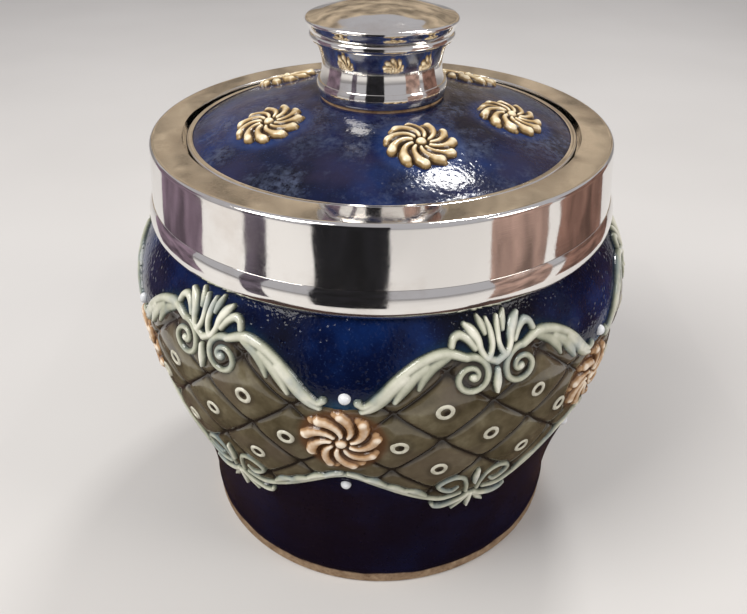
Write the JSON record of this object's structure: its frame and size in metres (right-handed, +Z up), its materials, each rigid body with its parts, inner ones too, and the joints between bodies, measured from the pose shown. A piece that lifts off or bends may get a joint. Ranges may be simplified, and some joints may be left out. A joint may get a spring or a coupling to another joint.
{
  "type": "powder jar",
  "caption": "Lidded stoneware vanity jar in cobalt glaze with a quilted relief frieze, a polished silver collar and a lift-off lid with a silver knob.",
  "frame": {"origin": "centre of the foot's resting plane, on the jar's axis", "axes": "+Z up along the axis of the jar, -Y towards the viewer; the first rosette of the frieze is 7.5 degrees round from -Y towards -X"},
  "size_m": [0.129, 0.1302, 0.1394],
  "materials": {
    "cobalt_glaze": "gloss, mottled dark cobalt over stoneware",
    "slip_glaze": "gloss grey-green slip, darker in the hollows",
    "rosette_glaze": "gloss cream with brown hollows",
    "white_glaze": "gloss white",
    "silver": "polished silver plate with fine wear",
    "plaster": "matt plaster bedding",
    "cork": "matt cork",
    "plated_iron": "dull plated"
  },
  "bodies": {
    "jar": {"jar_body": "cobalt_glaze", "upper_scrolls": "slip_glaze", "upper_palmettes": "slip_glaze", "palmette_drops": "slip_glaze", "lower_scrolls": "slip_glaze", "lower_palmettes": "slip_glaze", "lower_drops": "slip_glaze", "body_rosettes": "rosette_glaze", "rosette_beads_upper": "white_glaze", "rosette_beads_lower": "white_glaze", "ring_studs": "slip_glaze", "collar_band": "silver", "collar_bead": "silver", "collar_liner": "silver", "collar_cement": "plaster"},
    "lid": {"lid_disc": "cobalt_glaze", "lid_bezel": "silver", "lid_rosettes": "rosette_glaze", "knob_cap": "silver", "knob_neck": "silver", "knob_base_ring": "silver", "knob_seat_washer": "cork", "knob_stud": "plated_iron", "retaining_washer": "plated_iron", "retaining_nut": "plated_iron"}
  },
  "joints": [
    {"name": "lid_lift", "type": "slide", "parent": "jar", "child": "lid", "axis": [0, 0, 1], "range_m": [0, 0.06]}
  ]
}
